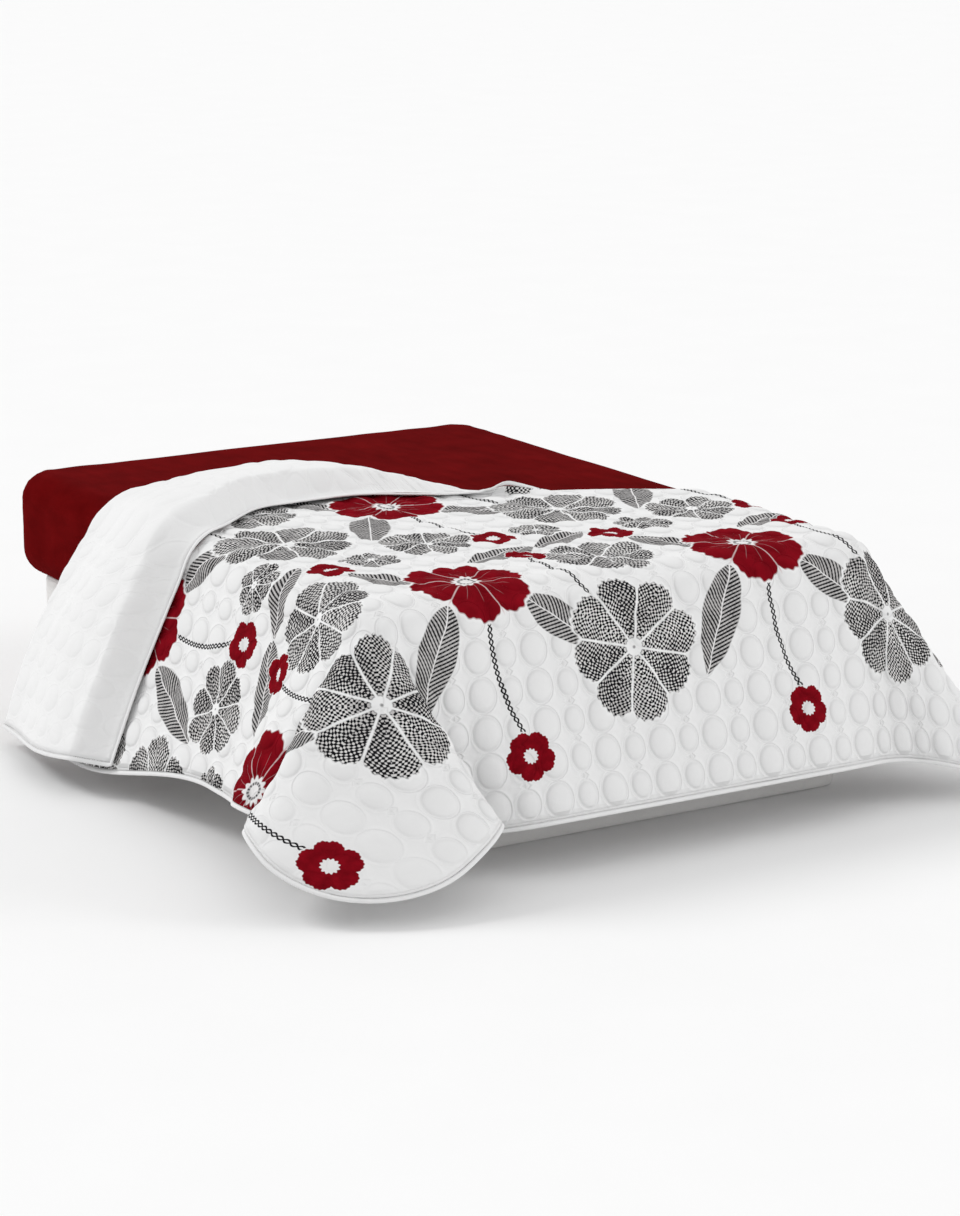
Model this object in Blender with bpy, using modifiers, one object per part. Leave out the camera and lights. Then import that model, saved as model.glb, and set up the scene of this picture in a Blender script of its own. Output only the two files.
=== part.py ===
"""A quilt turned back at the head of a bed and draped over its sides and foot, with the bed itself."""
import math

import bmesh
import bpy
import numpy as np

# Bed, in metres: x across, y from foot to head, z up from the floor
BED_WIDTH = 1.52
BED_LENGTH = 2.03
BASE_HEIGHT = 0.36
BASE_INSET = 0.06
BASE_EDGE = 0.012
MATTRESS_DEPTH = 0.30
MATTRESS_CORNER = 0.10
MATTRESS_EDGE = 0.08
SEAT_GAP = 0.0003

# Quilt cloth: drops are cloth lengths past the mattress's edge lines
SIDE_DROP = 0.51
FOOT_DROP = 0.53
CLOTH_THICKNESS = 0.006
HEM_CORNER = 0.24
TOP_CLEARANCE = 0.0005
EDGE_CLEARANCE = 0.014
HANG_TURN = math.radians(70)

# Quilting: columns of big and small ovals, one row of ovals in each row of cells
BIG_COLUMN = 0.088
SMALL_COLUMN = 0.068
ROW_HEIGHT = 0.092
BIG_PUFF = 0.007
SMALL_PUFF = 0.005
MIN_PUFFED_CELL = 0.0030
BEND_CELLS = 4
ROLL_CELLS = 5
FLAP_CELLS = 4
EDGE_SHARES = (0.4, 0.8, 1.0)
BEND_MARGIN = 0.016
SETTLE_STEPS = 5

# Binding sewn round the edge
BINDING_WIDTH = 0.012
BINDING_THICKNESS = 0.007
BINDING_GAP = 0.0013

# The turned-back head end. Across is the place over the bed's width, fold the distance of the
# fold from the foot of the mattress, flap the cloth past the fold, roll the fold's diameter,
# turn how far it is turned back and loft how much the flap stands up.
CUFF_COLUMNS = ("across", "fold", "flap", "roll", "turn", "loft")
CUFF = (
    (-1.42, 1.53, 0.66, 0.044, 180, 0.027),
    (-1.18, 1.52, 0.65, 0.044, 180, 0.027),
    (-0.92, 1.45, 0.62, 0.044, 180, 0.026),
    (-0.76, 1.36, 0.55, 0.046, 180, 0.020),
    (-0.40, 1.42, 0.40, 0.056, 180, 0.014),
    (-0.12, 1.39, 0.39, 0.050, 180, 0.010),
    (0.06, 1.06, 0.13, 0.030, 180, 0.002),
    (0.14, 0.98, 0.048, 0.014, 180, 0.0),
    (0.24, 0.915, 0.034, 0.012, 70, 0.0),
    (0.34, 0.87, 0.034, 0.012, 0, 0.0),
    (0.76, 0.68, 0.035, 0.012, 0, 0.0),
    (1.30, 0.62, 0.035, 0.012, 0, 0.0),
)
FREE_EDGE_LIFT = 0.018
EDGE_SWELL = 1.7
EDGE_FALL = 0.080
DOWN_BY = 0.80
FULL_TURN = 180
LAID_TURN = 150
LEAST_TURN = 0.5

# Extra cloth that hangs down the left side round the fold, where the quilt lies askew
LEFT_EXTRA = 0.115
EXTRA_RISE = (-0.55, 0.70)
EXTRA_FALL = (0.85, 0.75)

# Corner folds as plan views of the hem. Around is the hem's length from where the corner
# starts, out and front are distances past the mattress's side and past its foot.
CORNER_COLUMNS = ("around", "out", "front")
LEFT_CORNER = (
    (-0.40, 0.170, -0.480),
    (-0.22, 0.185, -0.305),
    (-0.10, 0.230, -0.205),
    (-0.02, 0.228, -0.140),
    (0.06, 0.202, -0.100),
    (0.13, 0.228, -0.062),
    (0.21, 0.280, -0.015),
    (0.31, 0.268, 0.062),
    (0.43, 0.172, 0.160),
    (0.54, 0.050, 0.228),
    (0.66, -0.105, 0.250),
    (0.74, -0.185, 0.235),
    (0.80, -0.222, 0.208),
    (0.85, -0.222, 0.168),
    (0.92, -0.178, 0.135),
    (0.97, -0.160, 0.102),
    (1.02, -0.182, 0.078),
    (1.09, -0.242, 0.090),
    (1.24, -0.380, 0.150),
    (1.45, -0.588, 0.170),
)
RIGHT_CORNER = (
    (-0.45, 0.170, -0.530),
    (-0.25, 0.158, -0.335),
    (-0.10, 0.150, -0.200),
    (0.02, 0.185, -0.105),
    (0.20, 0.226, 0.000),
    (0.38, 0.226, 0.094),
    (0.54, 0.170, 0.165),
    (0.68, 0.075, 0.178),
    (0.82, -0.005, 0.150),
    (0.94, -0.090, 0.138),
    (1.10, -0.245, 0.165),
    (1.30, -0.438, 0.170),
)
PULL_CURVE = 1.12
LEAST_DROP = 0.45

# Soft unevenness of the laid cloth: length of a wave across and along, and its height
RUMPLE_COLUMNS = ("across", "along", "shift", "height")
RUMPLES = (
    (0.83, 0.61, 0.4, 0.0022),
    (0.47, 1.10, 1.9, 0.0016),
    (0.36, 0.43, 3.1, 0.0010),
)

HALF_WIDTH = BED_WIDTH / 2
HALF_LENGTH = BED_LENGTH / 2
MATTRESS_TOP = BASE_HEIGHT + MATTRESS_DEPTH
QUILT_HALF_WIDTH = HALF_WIDTH + SIDE_DROP
QUILT_FOOT = -HALF_LENGTH - FOOT_DROP
INSET_X = HALF_WIDTH - MATTRESS_EDGE
INSET_Y = HALF_LENGTH - MATTRESS_EDGE
DRAPE_RADIUS = MATTRESS_EDGE + EDGE_CLEARANCE
BEND_LENGTH = DRAPE_RADIUS * HANG_TURN
FULL_DROP = MATTRESS_EDGE + SIDE_DROP
FOOT_REACH = MATTRESS_EDGE + FOOT_DROP
CLOTH_TOP = MATTRESS_TOP + TOP_CLEARANCE + CLOTH_THICKNESS / 2
CORNER_REACH = 0.6
SLOPE_STEP = 0.002
TINY = 1e-9


def smooth_columns(names, table, at):
    """A table's named columns at the given first-column values, on a smooth curve through its rows."""
    rows = np.array(table, dtype=float)
    steps, values = rows[:, 0], rows[:, 1:]
    slopes = np.gradient(values, steps, axis=0)
    at = np.clip(at, steps[0], steps[-1])
    left = np.clip(np.searchsorted(steps, at) - 1, 0, len(steps) - 2)
    span = steps[left + 1] - steps[left]
    part = ((at - steps[left]) / span)[:, None]
    span = span[:, None]
    near, far = values[left], values[left + 1]
    smooth = ((2 * part**3 - 3 * part**2 + 1) * near + (part**3 - 2 * part**2 + part) * span * slopes[left]
              + (3 * part**2 - 2 * part**3) * far + (part**3 - part**2) * span * slopes[left + 1])
    return dict(zip(names[1:], smooth.T))


def soft_step(value):
    value = np.clip(value, 0, 1)
    return value * value * (3 - 2 * value)


def hem_shift(table, u, v, side):
    """How far a corner's folds move the hem from its even flare, in plan."""
    up_side = v + INSET_Y
    along_foot = INSET_X - side * u
    angle = np.arctan2(np.maximum(-up_side, 0), np.maximum(-along_foot, TINY))
    around = CORNER_REACH * angle + np.maximum(along_foot, 0) - np.maximum(up_side, 0)
    hem = smooth_columns(CORNER_COLUMNS, table, around)
    flare = DRAPE_RADIUS * math.sin(HANG_TURN) + (FULL_DROP - BEND_LENGTH) * math.cos(HANG_TURN)
    even_out = flare * np.cos(angle) - MATTRESS_EDGE - np.maximum(along_foot, 0)
    even_front = flare * np.sin(angle) - MATTRESS_EDGE - np.maximum(up_side, 0)
    inside = (around > table[0][0]) & (around < table[-1][0])
    return np.where(inside, side * (hem["out"] - even_out), 0), np.where(inside, even_front - hem["front"], 0)


def drape(u, v):
    """Where the cloth's middle lies over the bed, for points of the flat cloth."""
    edge_x = np.clip(u, -INSET_X, INSET_X)
    edge_y = np.maximum(v, -INSET_Y)
    past = np.hypot(u - edge_x, v - edge_y)
    out_x = (u - edge_x) / np.maximum(past, TINY)
    out_y = (v - edge_y) / np.maximum(past, TINY)
    turn = np.clip(past / DRAPE_RADIUS, 0, HANG_TURN)
    hanging = np.maximum(past - BEND_LENGTH, 0)
    left_x, left_y = hem_shift(LEFT_CORNER, u, v, -1)
    right_x, right_y = hem_shift(RIGHT_CORNER, u, v, 1)
    pull = (hanging / (FULL_DROP - BEND_LENGTH)) ** PULL_CURVE
    plan_x = hanging * math.cos(HANG_TURN) * out_x + pull * np.where(u < 0, left_x, right_x)
    plan_y = hanging * math.cos(HANG_TURN) * out_y + pull * np.where(u < 0, left_y, right_y)
    lowered = np.sqrt(np.maximum(hanging**2 - plan_x**2 - plan_y**2, (LEAST_DROP * hanging) ** 2))
    x = edge_x + DRAPE_RADIUS * np.sin(turn) * out_x + plan_x
    y = edge_y + DRAPE_RADIUS * np.sin(turn) * out_y + plan_y
    z = CLOTH_TOP - DRAPE_RADIUS * (1 - np.cos(turn)) - lowered
    return np.stack([x, y, z], axis=1)


def rumple(u, v):
    """Soft waves that lift the cloth off the bed, never into it."""
    height = np.zeros_like(u)
    for row in RUMPLES:
        wave = dict(zip(RUMPLE_COLUMNS, row))
        phase = 2 * math.pi * (u / wave["across"] + v / wave["along"]) + wave["shift"]
        height += wave["height"] * (1 + np.sin(phase))
    return height


def surface(u, v):
    """A point of the single layer and the way that its outer side faces."""
    point = drape(u, v)
    across = drape(u + SLOPE_STEP, v) - drape(u - SLOPE_STEP, v)
    along = drape(u, v + SLOPE_STEP) - drape(u, v - SLOPE_STEP)
    facing = np.cross(across, along)
    return point, facing / np.maximum(np.linalg.norm(facing, axis=1), TINY)[:, None]


def edge_zone(laid_back):
    """How much of the flap's laid-back length slopes down to its free edge."""
    return np.minimum(EDGE_FALL, laid_back / 2)


def place(u, v):
    """Where a point of the flat cloth lies, with the head end turned back over the rest."""
    cuff = smooth_columns(CUFF_COLUMNS, CUFF, u)
    fold = cuff["fold"] - HALF_LENGTH
    turn = np.radians(np.clip(cuff["turn"], LEAST_TURN, FULL_TURN))
    bend = math.pi * cuff["roll"] / 2
    past = np.maximum(v - fold, 0)
    turned = turn * np.clip(past / bend, 0, 1)
    beyond = np.maximum(past - bend, 0)
    radius = bend / turn
    along = np.where(v > fold, fold + radius * np.sin(turned) + beyond * np.cos(turn), v)
    height = radius * (1 - np.cos(turned)) + beyond * np.sin(turn)
    share = np.clip(beyond / (cuff["flap"] - bend), 0, 1)
    laid_back = soft_step((cuff["turn"] - LAID_TURN) / (FULL_TURN - LAID_TURN))
    into_zone = 1 - (cuff["flap"] - bend - beyond) / edge_zone(cuff["flap"] - bend)
    falling = np.clip(into_zone / DOWN_BY, 0, 1)
    loft = np.maximum(cuff["loft"], 0)
    swell = EDGE_SWELL * loft
    fullness = loft * np.sin(math.pi * share) ** 2 + swell * soft_step(share)
    height += laid_back * (fullness - (cuff["roll"] + swell - FREE_EDGE_LIFT) * falling)
    point, facing = surface(u, along)
    return point + facing * (height + rumple(u, along))[:, None]


def cell_lines(edges, bend_from, bend_to):
    """Cell edges with the stretch that bends over the mattress cut finer."""
    outside = [edge for edge in edges if edge < bend_from - BEND_MARGIN or edge > bend_to + BEND_MARGIN]
    return sorted(outside + list(np.linspace(bend_from, bend_to, BEND_CELLS + 1)))


def column_lines():
    """Edges of the quilting's columns across the cloth, big and small in turn."""
    half = []
    edge, width = BIG_COLUMN / 2, SMALL_COLUMN
    while edge < QUILT_HALF_WIDTH - SMALL_COLUMN / 2:
        half.append(edge)
        edge += width
        width = BIG_COLUMN + SMALL_COLUMN - width
    half = cell_lines(half + [QUILT_HALF_WIDTH], INSET_X, INSET_X + BEND_LENGTH)
    return [-edge for edge in reversed(half)] + half


def row_lines():
    """Edges of the quilting's rows from the foot hem to the fold, where the fold is furthest down."""
    fold = smooth_columns(CUFF_COLUMNS, CUFF, np.array([-HALF_WIDTH]))["fold"][0] - HALF_LENGTH
    count = round((fold - QUILT_FOOT) / ROW_HEIGHT)
    edges = list(np.linspace(QUILT_FOOT, fold, count + 1))
    return cell_lines(edges, -INSET_Y - BEND_LENGTH, -INSET_Y)


def round_hem_corner(u, v):
    """Draws the two foot corners of the flat cloth in to round ones."""
    side = np.maximum(np.abs(u) - INSET_X, 0) / FULL_DROP
    foot = np.maximum(-v - INSET_Y, 0) / FOOT_REACH
    far = np.maximum(np.hypot(side, foot), TINY)
    slant = np.maximum(side, foot) / far
    radius = HEM_CORNER / FULL_DROP
    centre = 1 - radius
    middle = centre * (side + foot) / far
    arc = middle + np.sqrt(np.maximum(middle**2 - 2 * centre**2 + radius**2, 0))
    straight = 1 / np.maximum(slant, TINY)
    in_arc = np.minimum(side, foot) / far * straight > centre
    scale = 1 + np.where(in_arc, arc / straight - 1, 0) * np.clip(np.maximum(side, foot), 0, 1) ** 2
    new_u = np.where(side > 0, np.sign(u) * (INSET_X + side * scale * FULL_DROP), u)
    new_v = np.where(foot > 0, -INSET_Y - foot * scale * FOOT_REACH, v)
    return new_u, new_v


def hang_lower(columns, v):
    """Widens the flat cloth at the left side round the fold."""
    outer = np.maximum(-columns - INSET_X, 0) / FULL_DROP
    extra = soft_step((v - EXTRA_RISE[0]) / EXTRA_RISE[1]) - soft_step((v - EXTRA_FALL[0]) / EXTRA_FALL[1])
    return columns - LEFT_EXTRA * outer * extra


def line_shares(rows, level):
    """Each line's start and its shares of the laid cloth, the roll, the flap and the flap's edge."""
    lines = [(row, 0, 0, 0, 0) for row in rows if row <= level]
    lines += [(level, (row - level) / (rows[-1] - level), 0, 0, 0) for row in rows if row > level]
    lines += [(level, 1, step / ROLL_CELLS, 0, 0) for step in range(1, ROLL_CELLS + 1)]
    lines += [(level, 1, 1, step / FLAP_CELLS, 0) for step in range(1, FLAP_CELLS + 1)]
    lines += [(level, 1, 1, 1, share) for share in EDGE_SHARES]
    return np.array(lines)


def lines_along(shares, u, level):
    """How far along the cloth each line runs at the given places across."""
    cuff = smooth_columns(CUFF_COLUMNS, CUFF, u.ravel())
    fold, flap, roll = (cuff[name].reshape(u.shape) for name in ("fold", "flap", "roll"))
    bend = math.pi * roll / 2
    edge = edge_zone(flap - bend)
    parts = (fold - HALF_LENGTH - level, bend, flap - bend - edge, edge)
    return shares[:, :1] + sum(shares[:, place + 1, None] * part for place, part in enumerate(parts))


def flat_grid():
    """Flat places of the grid's points, one row of places after the other from foot to head."""
    columns, level = np.array(column_lines()), -INSET_Y + ROW_HEIGHT
    shares = line_shares(row_lines(), level)
    u = np.tile(columns, (len(shares), 1))
    for _settle in range(SETTLE_STEPS):
        v = lines_along(shares, u, level)
        u = hang_lower(columns, v)
    return round_hem_corner(u, v)


def paint(name, colour, roughness):
    material = bpy.data.materials.new(name)
    material.use_nodes = True
    shader = material.node_tree.nodes["Principled BSDF"]
    shader.inputs["Base Color"].default_value = (*colour, 1)
    shader.inputs["Roughness"].default_value = roughness
    shader.inputs["Metallic"].default_value = 0
    return material


def add_object(name, mesh, collection, material):
    obj = bpy.data.objects.new(name, mesh)
    collection.objects.link(obj)
    mesh.materials.append(material)
    return obj


def shape_grid(bm, count_x, count_y, points):
    """A grid whose points are moved to the given places, row after row."""
    bmesh.ops.create_grid(bm, x_segments=count_x - 1, y_segments=count_y - 1, size=1)
    ordered = sorted(bm.verts, key=lambda vert: (round(vert.co.y, 6), round(vert.co.x, 6)))
    for vert, point in zip(ordered, points):
        vert.co = point


def applied_mesh(obj):
    """The object's mesh with its modifiers applied, and the modifiers taken off."""
    graph = bpy.context.evaluated_depsgraph_get()
    mesh = bpy.data.meshes.new_from_object(obj.evaluated_get(graph))
    obj.modifiers.clear()
    obj.data = mesh
    return mesh


def thicken(obj, thickness, offset):
    solid = obj.modifiers.new("thickness", "SOLIDIFY")
    solid.thickness = thickness
    solid.offset = offset
    return applied_mesh(obj)


def raise_quilting(mesh, rows_in_main, count_x, count_y):
    """Puffs up the cells that show: the face of the laid part and the reverse of the cuff."""
    one_side = (count_x - 1) * (count_y - 1)
    in_main = (count_x - 1) * rows_in_main
    bm = bmesh.new()
    bm.from_mesh(mesh)
    bm.faces.ensure_lookup_table()
    shown = bm.faces[:in_main] + bm.faces[one_side + in_main:2 * one_side]
    whole = [face for face in shown if face.calc_area() > MIN_PUFFED_CELL]
    full_cell = (BIG_COLUMN + SMALL_COLUMN) / 2 * ROW_HEIGHT
    for faces, puff in (
        ([face for face in whole if face.calc_area() > full_cell], BIG_PUFF),
        ([face for face in whole if face.calc_area() <= full_cell], SMALL_PUFF),
    ):
        bmesh.ops.poke(bm, faces=faces, offset=puff, center_mode="MEAN")
    bm.to_mesh(mesh)
    bm.free()


def make_quilt(collection):
    u, v = flat_grid()
    count_y, count_x = u.shape
    bm = bmesh.new()
    shape_grid(bm, count_x, count_y, place(u.ravel(), v.ravel()))
    mesh = bpy.data.meshes.new("quilt")
    bm.to_mesh(mesh)
    bm.free()
    quilt = add_object("quilt", mesh, collection, paint("quilt_cotton", (0.86, 0.86, 0.87), 0.85))
    mesh = thicken(quilt, CLOTH_THICKNESS, 0)
    raise_quilting(mesh, count_y - 1 - ROLL_CELLS - FLAP_CELLS - len(EDGE_SHARES), count_x, count_y)
    quilt.data.shade_smooth()
    return quilt


def hem_stations():
    """Flat places round the cloth's edge and the way out of the cloth at each."""
    u, v = flat_grid()
    flat = np.stack([u, v], axis=2)
    ring = np.concatenate([flat[0, :-1], flat[:-1, -1], flat[-1, :0:-1], flat[:0:-1, 0]])
    ahead = np.roll(ring, -1, axis=0) - ring
    ahead /= np.linalg.norm(ahead, axis=1)[:, None]
    behind = np.roll(ahead, 1, axis=0)
    outward = np.stack([ahead[:, 1] + behind[:, 1], -ahead[:, 0] - behind[:, 0]], axis=1)
    mitre = outward / (1 + np.sum(ahead * behind, axis=1))[:, None]
    return ring, mitre


def make_binding(collection):
    ring, outward = hem_stations()
    lines = []
    for reach in (BINDING_GAP, BINDING_GAP + BINDING_WIDTH):
        flat = ring + outward * reach
        points = place(flat[:, 0], flat[:, 1])
        lines.append(np.concatenate([points, points[:1]]))
    bm = bmesh.new()
    shape_grid(bm, len(ring) + 1, 2, np.concatenate(lines))
    bmesh.ops.remove_doubles(bm, verts=bm.verts, dist=0.0001)
    mesh = bpy.data.meshes.new("quilt_binding")
    bm.to_mesh(mesh)
    bm.free()
    binding = add_object("quilt_binding", mesh, collection, paint("binding_cotton", (0.92, 0.92, 0.92), 0.8))
    thicken(binding, BINDING_THICKNESS, 0)
    binding.data.shade_smooth()
    return binding


def rounded_block(bm, size, low, corner, edge, corner_steps, edge_steps):
    """A block standing on the given height, with round upright edges and round rims."""
    bmesh.ops.create_cube(bm, size=1)
    bmesh.ops.scale(bm, vec=size, verts=bm.verts)
    bmesh.ops.translate(bm, vec=(0, 0, low + size[2] / 2), verts=bm.verts)
    upright = [e for e in bm.edges if abs(e.verts[0].co.z - e.verts[1].co.z) > size[2] / 2]
    bmesh.ops.bevel(bm, geom=upright, offset=corner, segments=corner_steps, profile=0.5, affect="EDGES")
    rims = [e for e in bm.edges if abs(e.verts[0].co.z - e.verts[1].co.z) < 1e-5
            and any(abs(face.normal.z) < 0.5 for face in e.link_faces)
            and any(abs(face.normal.z) > 0.5 for face in e.link_faces)]
    bmesh.ops.bevel(bm, geom=rims, offset=edge, segments=edge_steps, profile=0.5, affect="EDGES")


def make_block(name, collection, material, **shape):
    bm = bmesh.new()
    rounded_block(bm, **shape)
    mesh = bpy.data.meshes.new(name)
    bm.to_mesh(mesh)
    bm.free()
    block = add_object(name, mesh, collection, material)
    block.data.shade_smooth()
    return block


def make_mattress(collection):
    depth = MATTRESS_DEPTH - SEAT_GAP
    return make_block("mattress", collection, paint("red_sheet", (0.22, 0.008, 0.012), 0.7),
                      size=(BED_WIDTH, BED_LENGTH, depth), low=BASE_HEIGHT + SEAT_GAP,
                      corner=MATTRESS_CORNER, edge=MATTRESS_EDGE, corner_steps=7, edge_steps=6)


def make_base(collection):
    return make_block("bed_base", collection, paint("pale_base_cloth", (0.78, 0.76, 0.73), 0.9),
                      size=(BED_WIDTH - 2 * BASE_INSET, BED_LENGTH - 2 * BASE_INSET, BASE_HEIGHT), low=0,
                      corner=MATTRESS_CORNER - BASE_INSET, edge=BASE_EDGE, corner_steps=5, edge_steps=2)


for old in list(bpy.data.objects):
    bpy.data.objects.remove(old, do_unlink=True)
quilt_on_bed = bpy.data.collections.new("quilt_on_bed")
bpy.context.scene.collection.children.link(quilt_on_bed)
make_base(quilt_on_bed)
make_mattress(quilt_on_bed)
make_quilt(quilt_on_bed)
make_binding(quilt_on_bed)
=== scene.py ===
import math

import bmesh
import bpy
import numpy as np
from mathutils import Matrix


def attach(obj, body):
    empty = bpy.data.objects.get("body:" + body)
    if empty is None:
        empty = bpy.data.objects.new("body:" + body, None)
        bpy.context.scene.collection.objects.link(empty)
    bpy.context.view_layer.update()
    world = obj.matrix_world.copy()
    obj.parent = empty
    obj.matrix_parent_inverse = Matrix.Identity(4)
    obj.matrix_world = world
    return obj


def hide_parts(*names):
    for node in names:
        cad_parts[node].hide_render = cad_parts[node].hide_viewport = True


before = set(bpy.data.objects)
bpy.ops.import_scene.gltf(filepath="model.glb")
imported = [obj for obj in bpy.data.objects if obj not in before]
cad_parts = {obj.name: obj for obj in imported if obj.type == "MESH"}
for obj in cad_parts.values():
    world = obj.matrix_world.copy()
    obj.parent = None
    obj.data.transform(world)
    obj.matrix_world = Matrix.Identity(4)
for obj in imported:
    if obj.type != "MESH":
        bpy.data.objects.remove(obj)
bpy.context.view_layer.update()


# The bed base. It is a timber box in a tight cover of pale woven cloth, pulled round its edges
# and stapled underneath, and it stands flat on the floor. The CAD solid has its true shape.

class Wire:
    """A number in a material's nodes. Sums of wires make Math nodes, so a weave is a sum."""

    def __init__(self, socket):
        self.socket = socket

    def math(self, operation, *others, clamp=False):
        node = self.socket.id_data.nodes.new("ShaderNodeMath")
        node.operation = operation
        node.use_clamp = clamp
        for slot, value in zip(node.inputs, (self, *others)):
            feed(slot, value)
        return Wire(node.outputs[0])

    def __add__(self, other):
        return self.math("ADD", other)

    def __sub__(self, other):
        return self.math("SUBTRACT", other)

    def __rsub__(self, other):
        return self.math("MULTIPLY", -1).math("ADD", other)

    def __mul__(self, other):
        return self.math("MULTIPLY", other)

    def __truediv__(self, other):
        return self.math("DIVIDE", other)

    def __pow__(self, other):
        return self.math("POWER", other)

    def __abs__(self):
        return self.math("ABSOLUTE")

    __radd__ = __add__
    __rmul__ = __mul__

    def sine(self):
        return self.math("SINE")

    def part(self, pitch):
        """Distance from the middle of its repeat, for repeats of that pitch."""
        return self.math("WRAP", pitch / 2, -pitch / 2)

    def lower(self, other):
        return self.math("MINIMUM", other)

    def higher(self, other):
        return self.math("MAXIMUM", other)

    def fade(self, sharpness):
        """1 where the wire is well above 0 and 0 below, with a short ramp between."""
        return self.math("MULTIPLY", sharpness, clamp=True)


def feed(slot, value):
    """Joins a wire or socket to a node's input, or sets the input's own value."""
    if isinstance(value, Wire):
        value = value.socket
    if isinstance(value, bpy.types.NodeSocket):
        slot.id_data.links.new(value, slot)
    else:
        slot.default_value = value


def new_cloth(name, roughness, sheen, specular=0.3):
    """A material whose even finish is set on its shader, with its node tree and shader."""
    material = bpy.data.materials.new(name)
    material.use_nodes = True
    shader = material.node_tree.nodes["Principled BSDF"]
    shader.inputs["Roughness"].default_value = roughness
    shader.inputs["Specular IOR Level"].default_value = specular
    shader.inputs["Sheen Weight"].default_value = sheen
    shader.inputs["Sheen Roughness"].default_value = 0.45
    return material, material.node_tree, shader


def cloth_place(tree, attribute=None):
    """The three numbers of a place on the cloth: an attribute's, or else the place in space."""
    if attribute:
        source = tree.nodes.new("ShaderNodeAttribute")
        source.attribute_name = attribute
        vector = source.outputs["Vector"]
    else:
        source = tree.nodes.new("ShaderNodeTexCoord")
        vector = source.outputs["Object"]
    parts = tree.nodes.new("ShaderNodeSeparateXYZ")
    tree.links.new(vector, parts.inputs[0])
    return vector, [Wire(output) for output in parts.outputs]


def fleck(tree, vector, scale, detail=2.0, stretch=None):
    """Soft random patches, from 0 to 1."""
    if stretch:
        mapping = tree.nodes.new("ShaderNodeMapping")
        mapping.inputs["Scale"].default_value = stretch
        tree.links.new(vector, mapping.inputs["Vector"])
        vector = mapping.outputs[0]
    noise = tree.nodes.new("ShaderNodeTexNoise")
    noise.inputs["Scale"].default_value = scale
    noise.inputs["Detail"].default_value = detail
    tree.links.new(vector, noise.inputs["Vector"])
    return Wire(noise.outputs[0])


def tint(tree, amount, first, second):
    """Two colours mixed by a wire. A colour is three numbers or another mix."""
    mix = tree.nodes.new("ShaderNodeMix")
    mix.data_type = "RGBA"
    feed(mix.inputs["Factor"], amount)
    for slot, colour in (("A", first), ("B", second)):
        socket = next(s for s in mix.inputs if s.name == slot and s.type == "RGBA")
        feed(socket, colour if isinstance(colour, bpy.types.NodeSocket) else (*colour, 1))
    return next(s for s in mix.outputs if s.type == "RGBA")


def emboss(tree, shader, height):
    """Raises the surface by a wire in metres."""
    bump = tree.nodes.new("ShaderNodeBump")
    bump.inputs["Distance"].default_value = 1.0
    feed(bump.inputs["Height"], height)
    tree.links.new(bump.outputs[0], shader.inputs["Normal"])


def weave(warp, weft, pitch):
    """Threads that cross at an even pitch, from -1 to 1."""
    thread = 2 * math.pi / pitch
    return (warp * thread).sine() * (weft * thread).sine()


BASE_THREAD, BASE_THREAD_HEIGHT = 0.0022, 0.00015
SLUB_SCALE, SLUB_STRETCH, SLUB_HEIGHT = 160, (1, 1, 6), 0.0004
BASE_LIGHT = (0.88, 0.87, 0.86)
BASE_DARK = (0.80, 0.79, 0.775)

base_cover, tree, shader = new_cloth("pale_base_cloth", roughness=0.9, sheen=0.2)
vector, (across, along, up) = cloth_place(tree)
threads = weave(across + along, up, BASE_THREAD)
slubs = fleck(tree, vector, SLUB_SCALE, 3.0, SLUB_STRETCH)
shade = (threads * 0.25 + slubs * 0.9).fade(1.0)
tree.links.new(tint(tree, shade, BASE_DARK, BASE_LIGHT), shader.inputs["Base Color"])
emboss(tree, shader, threads * BASE_THREAD_HEIGHT + slubs * SLUB_HEIGHT)
bed_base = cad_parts["bed_base"]
for slot in bed_base.material_slots:
    slot.material = base_cover


# The mattress in its fitted sheet. The sheet is deep red cotton, seamed at each corner, pulled
# down over the sides and gathered by elastic under the bottom edge. It lies on the base.

MATTRESS_HALF = (0.76, 1.015)
MATTRESS_LOW, MATTRESS_HIGH = 0.3605, 0.6597
MATTRESS_CORNER = 0.10
MATTRESS_RIM = 0.08
UNDER_TUCK = 0.05
SHEET_CELL = 0.016
TOP_DIP = 0.0030
DRAG_DEPTH, DRAG_SPACING, DRAG_REACH = 0.0016, 0.05, 0.28
GATHER_DEPTH, GATHER_PITCH, GATHER_FROM = 0.0032, 0.034, 0.25
SEAM_DEPTH, SEAM_WIDTH = 0.0020, 0.004
SHEET_DARK, SHEET_LIGHT = (0.074, 0.0008, 0.0011), (0.165, 0.0034, 0.0042)
# The seam colour is a painted shade for the groove of each corner seam.
SEAM_PAINTED_SHADE, SEAM_SHADE_REACH = (0.05, 0.001, 0.002), 0.0025
SHEET_THREAD, SHEET_THREAD_HEIGHT = 0.0012, 0.00003
STREAK_HEIGHT, CLOUD_HEIGHT = 0.0011, 0.002


def soft_step(value):
    value = np.clip(value, 0, 1)
    return value * value * (3 - 2 * value)


def soft_noise(x, y, pitch, seed):
    """Smooth unevenness from 0 to 1, with bumps about as wide as the pitch."""
    lattice = np.random.default_rng(seed).random((64, 64))
    x, y = x / pitch + 1000, y / pitch + 1000
    left, low = np.floor(x).astype(int), np.floor(y).astype(int)
    right_share, high_share = soft_step(x - left), soft_step(y - low)
    corner = [lattice[(left + i) % 64, (low + j) % 64] for i in (0, 1) for j in (0, 1)]
    near = corner[0] * (1 - high_share) + corner[1] * high_share
    far = corner[2] * (1 - high_share) + corner[3] * high_share
    return near * (1 - right_share) + far * right_share


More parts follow.
